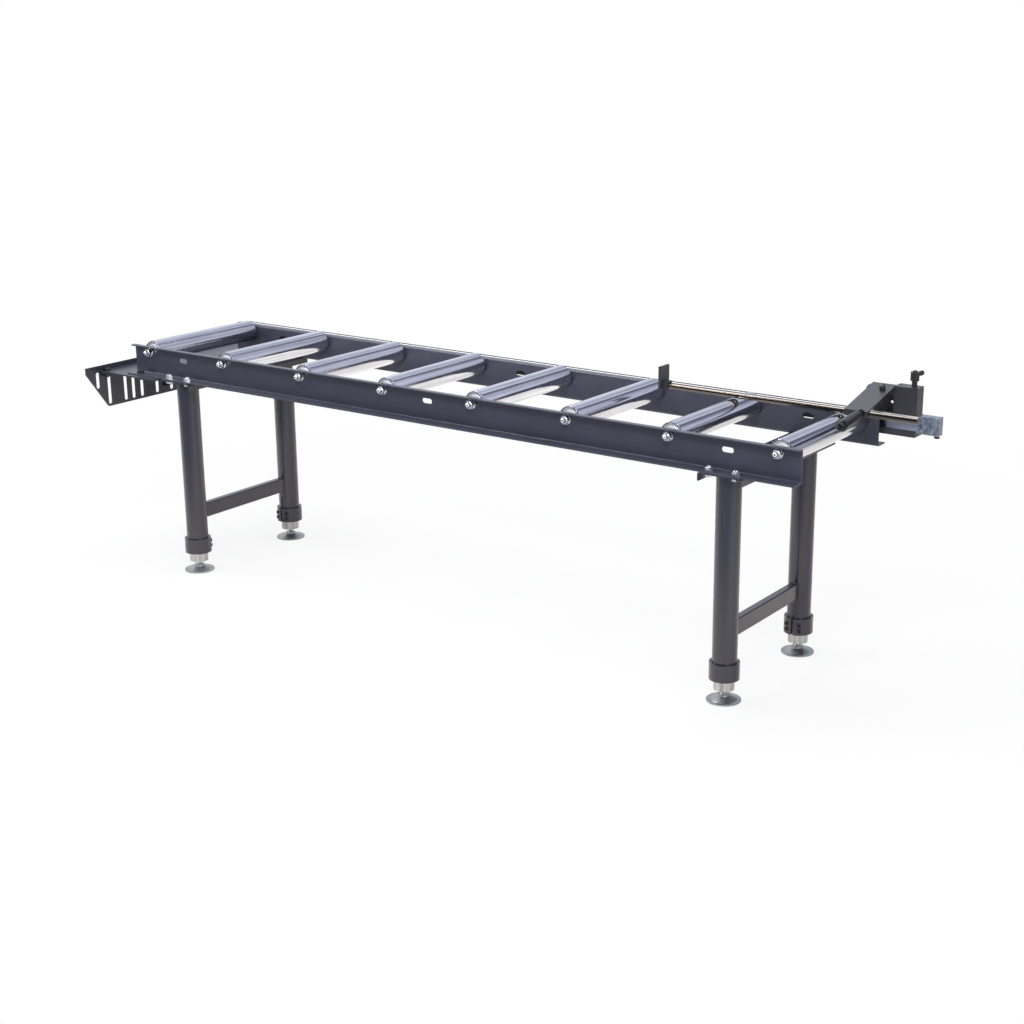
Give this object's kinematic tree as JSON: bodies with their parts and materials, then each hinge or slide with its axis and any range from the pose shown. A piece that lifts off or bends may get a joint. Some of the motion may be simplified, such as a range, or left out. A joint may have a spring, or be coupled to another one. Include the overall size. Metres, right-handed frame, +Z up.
{
  "type": "roller outfeed table",
  "caption": "Free-standing roller outfeed table with telescopic legs, a slotted saw adapter and a flip-up length stop on a guide bar.",
  "frame": {"origin": "on the floor, at the middle of the whole table's box seen from above", "axes": "+X along the rails, from the saw adapter to the length stop; +Y from the front rail to the rail with the guide bar; +Z up"},
  "size_m": [2.229, 0.58, 0.707],
  "materials": {
    "rail_paint": "satin powder coat",
    "leg_paint": "satin powder coat",
    "adapter_paint": "satin powder coat",
    "stop_paint": "satin powder coat",
    "roller_zinc": "bright zinc-plated tube",
    "roller_cap": "pressed and zinc-plated",
    "bearing_steel": "ground",
    "axle_steel": "turned, zinc-plated",
    "fastener_zinc": "zinc-plated",
    "black_screw": "black oxide",
    "inner_leg_zinc": "zinc-plated tube",
    "foot_zinc": "pressed and zinc-plated",
    "guide_alloy": "extruded, clear anodised",
    "strip_black": "smooth",
    "lever_black": "moulded",
    "grip_black": "moulded",
    "rod_chrome": "polished"
  },
  "bodies": {
    "table": {"front_rail": "rail_paint", "rear_rail": "rail_paint", "roller_axles": "axle_steel", "axle_nuts": "fastener_zinc", "roller_bearings": "bearing_steel", "left_channel": "leg_paint", "left_legs": "leg_paint", "left_cross_tube": "leg_paint", "right_channel": "leg_paint", "right_legs": "leg_paint", "right_cross_tube": "leg_paint", "frame_bolts": "fastener_zinc", "leg_collars": "leg_paint", "collar_screws": "black_screw", "adapter_plate": "adapter_paint", "slotted_plate": "adapter_paint", "adapter_bolts": "black_screw", "guide_bar": "guide_alloy", "guide_strip": "strip_black", "guide_spacers": "stop_paint", "end_block": "guide_alloy", "guide_screws": "fastener_zinc"},
    "roller_1": {"roller_1_tube": "roller_zinc", "roller_1_caps": "roller_cap"},
    "roller_2": {"roller_2_tube": "roller_zinc", "roller_2_caps": "roller_cap"},
    "roller_3": {"roller_3_tube": "roller_zinc", "roller_3_caps": "roller_cap"},
    "roller_4": {"roller_4_tube": "roller_zinc", "roller_4_caps": "roller_cap"},
    "roller_5": {"roller_5_tube": "roller_zinc", "roller_5_caps": "roller_cap"},
    "roller_6": {"roller_6_tube": "roller_zinc", "roller_6_caps": "roller_cap"},
    "roller_7": {"roller_7_tube": "roller_zinc", "roller_7_caps": "roller_cap"},
    "roller_8": {"roller_8_tube": "roller_zinc", "roller_8_caps": "roller_cap"},
    "leg_lf": {"inner_leg_lf": "inner_leg_zinc"},
    "screw_lf": {"stud_lf": "foot_zinc"},
    "foot_lf": {"foot_pad_lf": "foot_zinc"},
    "leg_lr": {"inner_leg_lr": "inner_leg_zinc"},
    "screw_lr": {"stud_lr": "foot_zinc"},
    "foot_lr": {"foot_pad_lr": "foot_zinc"},
    "leg_rf": {"inner_leg_rf": "inner_leg_zinc"},
    "screw_rf": {"stud_rf": "foot_zinc"},
    "foot_rf": {"foot_pad_rf": "foot_zinc"},
    "leg_rr": {"inner_leg_rr": "inner_leg_zinc"},
    "screw_rr": {"stud_rr": "foot_zinc"},
    "foot_rr": {"foot_pad_rr": "foot_zinc"},
    "carriage": {"carriage_box": "stop_paint", "guide_key": "fastener_zinc", "hinge_pin": "fastener_zinc"},
    "lever": {"clamp_lever": "lever_black"},
    "arm": {"stop_arm": "stop_paint", "handle_grip": "grip_black"},
    "knob": {"arm_knob": "lever_black"},
    "rod": {"stop_rod": "rod_chrome", "stop_plate": "stop_paint"}
  },
  "joints": [
    {"name": "roller_1_spin", "type": "hinge", "parent": "table", "child": "roller_1", "pos_m": [-0.9665, 0, 0.5915], "axis": [0, 1, 0], "continuous": true},
    {"name": "roller_2_spin", "type": "hinge", "parent": "table", "child": "roller_2", "pos_m": [-0.6965, 0, 0.5915], "axis": [0, 1, 0], "continuous": true},
    {"name": "roller_3_spin", "type": "hinge", "parent": "table", "child": "roller_3", "pos_m": [-0.4265, 0, 0.5915], "axis": [0, 1, 0], "continuous": true},
    {"name": "roller_4_spin", "type": "hinge", "parent": "table", "child": "roller_4", "pos_m": [-0.1565, 0, 0.5915], "axis": [0, 1, 0], "continuous": true},
    {"name": "roller_5_spin", "type": "hinge", "parent": "table", "child": "roller_5", "pos_m": [0.1135, 0, 0.5915], "axis": [0, 1, 0], "continuous": true},
    {"name": "roller_6_spin", "type": "hinge", "parent": "table", "child": "roller_6", "pos_m": [0.3835, 0, 0.5915], "axis": [0, 1, 0], "continuous": true},
    {"name": "roller_7_spin", "type": "hinge", "parent": "table", "child": "roller_7", "pos_m": [0.6535, 0, 0.5915], "axis": [0, 1, 0], "continuous": true},
    {"name": "roller_8_spin", "type": "hinge", "parent": "table", "child": "roller_8", "pos_m": [0.9235, 0, 0.5915], "axis": [0, 1, 0], "continuous": true},
    {"name": "leg_lf_height", "type": "slide", "parent": "table", "child": "leg_lf", "axis": [0, 0, -1], "range_m": [0, 0.25]},
    {"name": "stud_lf_level", "type": "slide", "parent": "leg_lf", "child": "screw_lf", "axis": [0, 0, -1], "range_m": [0, 0.02]},
    {"name": "foot_lf_tilt", "type": "hinge", "parent": "screw_lf", "child": "foot_lf", "pos_m": [-0.8435, -0.18, 0.0118], "axis": [1, 0, 0], "range_deg": [-8, 8]},
    {"name": "leg_lr_height", "type": "slide", "parent": "table", "child": "leg_lr", "axis": [0, 0, -1], "range_m": [0, 0.25]},
    {"name": "stud_lr_level", "type": "slide", "parent": "leg_lr", "child": "screw_lr", "axis": [0, 0, -1], "range_m": [0, 0.02]},
    {"name": "foot_lr_tilt", "type": "hinge", "parent": "screw_lr", "child": "foot_lr", "pos_m": [-0.8435, 0.18, 0.0118], "axis": [1, 0, 0], "range_deg": [-8, 8]},
    {"name": "leg_rf_height", "type": "slide", "parent": "table", "child": "leg_rf", "axis": [0, 0, -1], "range_m": [0, 0.25]},
    {"name": "stud_rf_level", "type": "slide", "parent": "leg_rf", "child": "screw_rf", "axis": [0, 0, -1], "range_m": [0, 0.02]},
    {"name": "foot_rf_tilt", "type": "hinge", "parent": "screw_rf", "child": "foot_rf", "pos_m": [0.8005, -0.18, 0.0118], "axis": [1, 0, 0], "range_deg": [-8, 8]},
    {"name": "leg_rr_height", "type": "slide", "parent": "table", "child": "leg_rr", "axis": [0, 0, -1], "range_m": [0, 0.25]},
    {"name": "stud_rr_level", "type": "slide", "parent": "leg_rr", "child": "screw_rr", "axis": [0, 0, -1], "range_m": [0, 0.02]},
    {"name": "foot_rr_tilt", "type": "hinge", "parent": "screw_rr", "child": "foot_rr", "pos_m": [0.8005, 0.18, 0.0118], "axis": [1, 0, 0], "range_deg": [-8, 8]},
    {"name": "carriage_slide", "type": "slide", "parent": "table", "child": "carriage", "axis": [1, 0, 0], "range_m": [-1.5, 0]},
    {"name": "lever_turn", "type": "hinge", "parent": "carriage", "child": "lever", "pos_m": [1.0375, 0.2381, 0.694], "axis": [0, 0, 1], "range_deg": [0, 120]},
    {"name": "arm_flip", "type": "hinge", "parent": "carriage", "child": "arm", "pos_m": [0.9665, 0.23, 0.657], "axis": [-1, 0, 0], "range_deg": [0, 115]},
    {"name": "knob_turn", "type": "hinge", "parent": "arm", "child": "knob", "pos_m": [0.97726, 0.19992, 0.66206], "axis": [0, -0.225, 0.9744], "range_deg": [0, 180]},
    {"name": "rod_slide", "type": "slide", "parent": "arm", "child": "rod", "axis": [1, 0, 0], "range_m": [-0.1, 0.3]}
  ]
}
